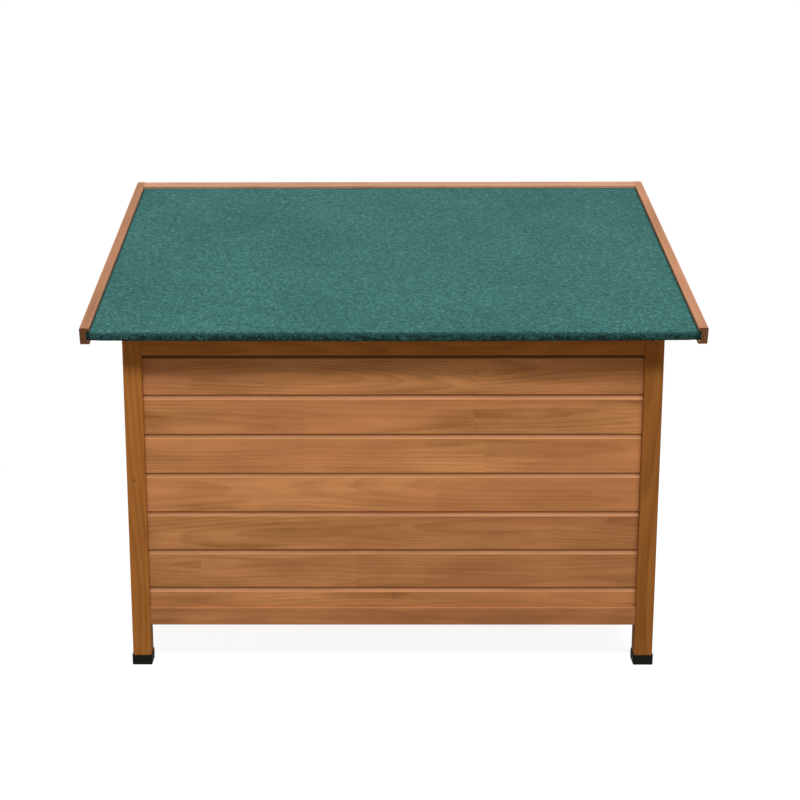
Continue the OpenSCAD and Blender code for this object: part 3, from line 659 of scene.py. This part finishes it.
# %% Browned steel
browned_steel, nodes = new_finish("browned_steel")
place = nodes.add("ShaderNodeTexCoord", out="Object")
cloud = nodes.noise(place, 700.0, 3.0, 0.6)
brown = nodes.mix(cloud, colour(92, 60, 28), colour(156, 112, 64))
surface(nodes, Base_Color=brown, Metallic=0.6, Roughness=0.4 + cloud * 0.25)
print("finish:", browned_steel.name)

# %% One cross-head screw, set on points
SCREW_SIZES = ("Head radius", "Shank radius", "Head height", "Length")
BAR_SIZES = ("Bar length", "Bar width", "Bar depth")
screw_tree, nodes, size = new_tree("cross_head_screws", (*SCREW_SIZES, *BAR_SIZES, "Seed"))
head = {"Vertices": 24, "Radius Top": size["Shank radius"], "Radius Bottom": size["Head radius"]}
head = nodes.add("GeometryNodeMeshCone", (), {**head, "Depth": size["Head height"]})
shank = {"Vertices": 12, "Radius": size["Shank radius"], "Depth": size["Length"]}
shank = nodes.add("GeometryNodeMeshCylinder", (), shank)
lower = {"Geometry": shank, "Translation": nodes.join(0, 0, size["Length"] * 0.5)}
shank = nodes.add("GeometryNodeTransform", (), lower)
joined = {"operation": "UNION", "solver": "EXACT"}
screw = nodes.add("GeometryNodeMeshBoolean", joined, {"Mesh 2": [head, shank]})
long, wide, deep = (size[label] for label in BAR_SIZES)
bars = [nodes.join(long, wide, deep * 2), nodes.join(wide, long, deep * 2)]
bars = [nodes.add("GeometryNodeMeshCube", (), {"Size": bar}) for bar in bars]
cut = {"operation": "DIFFERENCE", "solver": "EXACT"}
screw = nodes.add("GeometryNodeMeshBoolean", cut, {"Mesh 1": screw, "Mesh 2": bars})
drive = nodes.add("GeometryNodeInputNamedAttribute", {"data_type": "FLOAT_VECTOR"}, {"Name": "drive"})
aim = nodes.add("FunctionNodeAlignRotationToVector", {"axis": "Z"}, {"Vector": drive})
placed = {"Points": size["Start"], "Instance": screw, "Rotation": spun(nodes, aim, size["Seed"])}
end_tree(nodes, nodes.add("GeometryNodeInstanceOnPoints", (), placed), browned_steel)
print("screw nodes:", len(screw_tree.nodes))


# %% Find the model's screws
def loose_parts(name):
    """The points of each separate solid in one of the model's nodes."""
    mesh = solids[name].data
    corners = np.array([v.co for v in mesh.vertices])
    points, index = np.unique(np.round(corners, 6), axis=0, return_inverse=True)
    group = np.arange(len(points))
    triangles = index.ravel()[np.array([p.vertices for p in mesh.polygons])]
    settled = False
    while not settled:
        least = group[triangles].min(1)
        before = group.copy()
        for corner in range(3):
            np.minimum.at(group, triangles[:, corner], least)
        settled = bool((before == group).all())
    return [points[group == part] for part in np.unique(group)]


def measure_screw(points):
    """A screw's head centre, the way it was driven, and its sizes."""
    close = 0.1 * MM
    middle = (points.min(0) + points.max(0)) / 2
    axis = np.linalg.svd(points - points.mean(0))[2][0]
    way = (points - middle) @ axis
    far = np.linalg.norm(points - middle - np.outer(way, axis), axis=1)
    if far[way > way.max() - close].max() > far[way < way.min() + close].max():
        axis, way = -axis, -way
    shank = far[way > way.max() - close].max()
    neck = way[far < shank * 1.02]
    neck = neck[neck > way.min() + close].min()
    sizes = (far.max(), shank, neck - way.min(), way.max() - way.min())
    return middle + axis * way.min(), axis, {label: float(v) for label, v in zip(SCREW_SIZES, sizes)}


SCREW_GROUPS = (("post_screws", "cabin"), ("wall_fitting_screws", "cabin"), ("roof_fitting_screws", "roof"))
found = {node: [measure_screw(part) for part in loose_parts(node)] for node, _ in SCREW_GROUPS}
print("screws:", {node: len(screws) for node, screws in found.items()})

# %% Put cross-head screws there
FIRST_SCREW_SEED = 3
BAR_SHARES = (1.25, 0.3, 0.45)
for seed, (node, body) in enumerate(SCREW_GROUPS, FIRST_SCREW_SEED):
    heads, ways, sizes = zip(*found[node])
    start = bpy.data.meshes.new(node)
    start.from_pydata(heads, [], [])
    start.attributes.new("drive", "FLOAT_VECTOR", "POINT")
    start.attributes["drive"].data.foreach_set("vector", np.array(ways).ravel())
    bar = {label: share * sizes[0]["Head radius"] for label, share in zip(BAR_SIZES, BAR_SHARES)}
    screws = grow(node + "_cross_head", start, screw_tree, {**sizes[0], **bar, "Seed": seed})
    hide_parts(node)
    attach(screws, body)
    print(node, {label: round(v / MM, 2) for label, v in sizes[0].items()})

# %% [markdown]
# ## The roofing felt
# The felt is a soft sheet, a little over two millimetres thick. It lies on the roof boards, turns round their
# rear edge and ends underneath. Its other edges sit in the grooves of the trims. A sheet that was laid by
# hand is never quite flat, so it is a fine grid that follows the roof's section, lifted by soft waves which
# die out near the trims. Below the rear edge it hangs a little slack, most in the middle. Solidify then gives
# it its thickness.

# %% The felt's section, measured from the solid it replaces
SLOPE = Euler((PITCH, 0.0, 0.0)).to_matrix()
felt_middle, felt_reach = section_of(["roof_felt"], SLOPE_X)
half_width = float(felt_reach[0])
rear_edge = float(felt_middle[1] - felt_reach[1])
high_edge = float(felt_middle[1] + felt_reach[1])
felt_top = float(felt_middle[2] + felt_reach[2])
felt_low = float(felt_middle[2] - felt_reach[2])


def trim_face(name, axis, side):
    """Where a trim's inner face lies, across the roof (axis 0) or along its slope (axis 1)."""
    middle, reach = section_of([name], SLOPE_X)
    return float(middle[axis] + side * reach[axis])


trim_left = trim_face("roof_left_trim", 0, 1)
trim_right = trim_face("roof_right_trim", 0, -1)
trim_high = trim_face("roof_front_trim", 1, -1)
print("felt:", round(2 * half_width, 4), "wide, rear edge", round(felt_top - felt_low, 4), "tall")

# %% The felt's path and waves
STEP = 6.0 * MM
BEND = 4.5 * MM
BEND_ROWS = 6
TUCK = 13 * MM
DROOP = 2.1 * MM
IN_GROOVE = 6 * MM
FADE = 22 * MM


def spread(start, end, rows):
    """The starts of this many equal steps from start to end."""
    return [start + (end - start) * i / rows for i in range(rows)]


def felt_path():
    """Points of the felt's outer face from the high edge down, as (along the slope, across it, normal)."""
    fold = rear_edge + BEND
    rows = math.ceil((high_edge - fold) / STEP)
    path = [(v, felt_top, (0.0, 1.0)) for v in spread(high_edge, fold, rows)]
    for quarter, height in ((1, felt_top - BEND), (2, felt_low + BEND)):
        for turn in spread(quarter, quarter + 1, BEND_ROWS):
            out = (math.cos(turn * math.pi / 2), math.sin(turn * math.pi / 2))
            path.append((fold + BEND * out[0], height + BEND * out[1], out))
        if quarter == 1:
            path += [(rear_edge, w, (-1.0, 0.0)) for w in spread(height, felt_low + BEND, 2)]
    path += [(v, felt_low, (0.0, -1.0)) for v in spread(fold, fold + TUCK, 3)]
    return path + [(fold + TUCK, felt_low, (0.0, -1.0))]


def felt_lift(x, slope, down):
    """How far the felt stands off its section: little at the trims, and more where it hangs and faces down."""
    trim = min(half_width - IN_GROOVE - abs(x), high_edge - IN_GROOVE - slope)
    fade = max(0.0, min(1.0, trim / FADE))
    wave = noise.noise((x * 5, slope * 5, 1.7)) * 0.55 + noise.noise((x * 17, slope * 17, 4.1)) * 0.15
    nap = noise.noise((x * 90, slope * 90, 9.3)) * 0.2
    slack = (1 - (x / half_width) ** 2) * (1 - max(0.0, slope - rear_edge - BEND) / TUCK)
    return fade * (0.6 + wave * 0.7 + nap) * MM + DROOP * slack * down


section = felt_path()

# %% The felt as a grid
THICKNESS = 2.2 * MM
columns = math.ceil(2 * half_width / STEP)
points = []
for slope, height, out in section:
    for i in range(columns + 1):
        x = -half_width + 2 * half_width * i / columns
        lift = felt_lift(x, slope, max(0.0, -out[1]))
        points.append(SLOPE @ Vector((x, slope + out[0] * lift, height + out[1] * lift)))
row_points = columns + 1
faces = []
for row in range(len(section) - 1):
    for i in range(columns):
        corner = row * row_points + i
        faces.append((corner, corner + row_points, corner + row_points + 1, corner + 1))
felt_mesh = bpy.data.meshes.new("roof_felt_sheet")
felt_mesh.from_pydata(points, [], faces)
felt_mesh.shade_smooth()
felt = add_object("roof_felt_sheet", felt_mesh)
thick = felt.modifiers.new("thickness", "SOLIDIFY")
thick.thickness = THICKNESS
thick.offset = -1
print("felt grid:", len(points), "points; top face up:", felt_mesh.polygons[0].normal.z > 0)

# %% [markdown]
# The felt's colour is in its grit: blue-green mineral chips with darker and paler ones among them, bedded in
# dark bitumen. Voronoi cells of a millimetre give each chip its own tone. A coarser noise gathers them in
# clumps, which is the speckle that shows from a distance. Where the felt bends round the rear edge, it
# stretched and lost chips, so the bitumen shows, and painted shade darkens it the more the lower down. Along
# the trims, a thin painted shadow darkens the felt.

# %% Felt finish
FELT_DARK = colour(22, 60, 55)
FELT_MID = colour(54, 102, 95)
FELT_PALE = colour(107, 157, 145)
# The colour of bitumen, also used for the painted shade on the felt
BITUMEN_AND_SHADE = colour(14, 38, 36)
MATT_GRIT = 0.15

roofing_felt, nodes = new_finish("roofing_felt")
place = nodes.add("ShaderNodeTexCoord", out="Object")
cell = nodes.add("ShaderNodeTexVoronoi", (), {"Vector": place, "Scale": 760.0})
chip = nodes.split(cell.other("Color"))[0]
clump = nodes.noise(place, 130.0, 4.0, 0.8)
patch = nodes.noise(place, 5.0, 2.0)
speckle = chip * 0.45 + clump * 1.3 + (patch - 0.5) * 0.2 - 0.07
tone = nodes.mix(nodes.ease(speckle, 0.4, 0.85), FELT_DARK, FELT_MID)
tone = nodes.mix(nodes.ease(speckle, 0.85, 1.3), tone, FELT_PALE)

# Bare bitumen and painted shade round the rear edge, painted shadow beside the trims
across_roof, slope, height = nodes.split(nodes.turned(place, SLOPE_X))
# Painted shade and bare bitumen round the rear edge
bent = 1 - nodes.ease(slope - rear_edge + (clump - 0.5) * (5 * MM), 0.5 * MM, 3.5 * MM)
bent = bent * (1 - nodes.ease(height + (chip - 0.5) * (4 * MM), felt_top - 3 * MM, felt_top))
# Painted shade: the rear edge is darker the lower down
shade_lower_down = nodes.ease(felt_top - height, 3 * MM, felt_top - felt_low)
bared_and_shaded = (0.02 + nodes.ease(clump, 0.38, 0.58) * 1.1) * (0.55 + shade_lower_down * 0.95)
tone = nodes.mix(bent * bared_and_shaded, tone, BITUMEN_AND_SHADE)
# Painted shadow: a thin dark line on the felt along the trims
beside = nodes.least(trim_right - across_roof, across_roof - trim_left)
beside = nodes.least(beside, trim_high - slope)
tone = nodes.mix((1 - nodes.ease(beside, 0.5 * MM, 4.5 * MM)) * 0.75, tone, BITUMEN_AND_SHADE)

bump = nodes.bump(0.6, 0.9 * MM, clump * 1.2 - cell * 0.8)
rough = 0.82 + chip * 0.14
surface(nodes, Base_Color=tone, Roughness=rough, Normal=bump, Specular_IOR_Level=MATT_GRIT)
dress(felt, roofing_felt)
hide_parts("roof_felt")
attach(felt, "roof")
print("felt dressed in", roofing_felt.name)

# %% [markdown]
# Most of the grit is too fine to model and stays in the finish. The coarse chips are real: low, eight-sided
# grains scattered over the felt's outer face, half sunk in it, each with a turn, a size and a tone of its
# own. They make the face and its rear edge rough where the light grazes them.

# %% Finish of the chips
grit_finish, nodes = new_finish("felt_grit")
tone = nodes.add("ShaderNodeAttribute", {"attribute_name": "tone"}, out="Fac")
chip = nodes.mix(nodes.ease(tone, 0.0, 0.6), FELT_DARK, FELT_MID)
chip = nodes.mix(nodes.ease(tone, 0.5, 1.0), chip, FELT_PALE)
surface(nodes, Base_Color=chip, Roughness=0.75 + tone * 0.2, Specular_IOR_Level=MATT_GRIT)
print("finish:", grit_finish.name)

# %% Chips of grit, scattered over the felt
GRIT = {
    "Chips per square metre": 10000.0,
    "Smallest": 0.6 * MM,
    "Largest": 1.3 * MM,
    "Flatness": 0.6,
    "Seed": 8,
}
grit_tree, nodes, size = new_tree("mineral_grit", tuple(GRIT))
seed = size["Seed"]
outward = nodes.math("GREATER_THAN", nodes.split(nodes.add("GeometryNodeInputNormal"))[2], -0.3)
over = {"Mesh": size["Start"], "Selection": outward, "Seed": seed}
over["Density"] = size["Chips per square metre"]
points = nodes.add("GeometryNodeDistributePointsOnFaces", (), over)
grain = nodes.add("GeometryNodeMeshUVSphere", (), {"Segments": 4, "Rings": 2, "Radius": 1.0})
long, wide, high = (chance(nodes, size["Smallest"], size["Largest"], seed + i) for i in range(3))
placed = {"Points": points, "Instance": grain}
placed["Rotation"] = spun(nodes, points.other("Rotation"), seed + 3)
placed["Scale"] = nodes.join(long, wide, high * size["Flatness"])
grains = nodes.add("GeometryNodeInstanceOnPoints", (), placed)
kept = {"Geometry": grains, "Name": "tone", "Value": chance(nodes, 0.0, 1.0, seed + 4)}
each = {"data_type": "FLOAT", "domain": "INSTANCE"}
grains = nodes.add("GeometryNodeStoreNamedAttribute", each, kept)
end_tree(nodes, grains, grit_finish)
grit = grow("roof_felt_grit", felt_mesh.copy(), grit_tree, GRIT)
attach(grit, "roof")
print("chips:", len(grit.data.polygons) // 8)
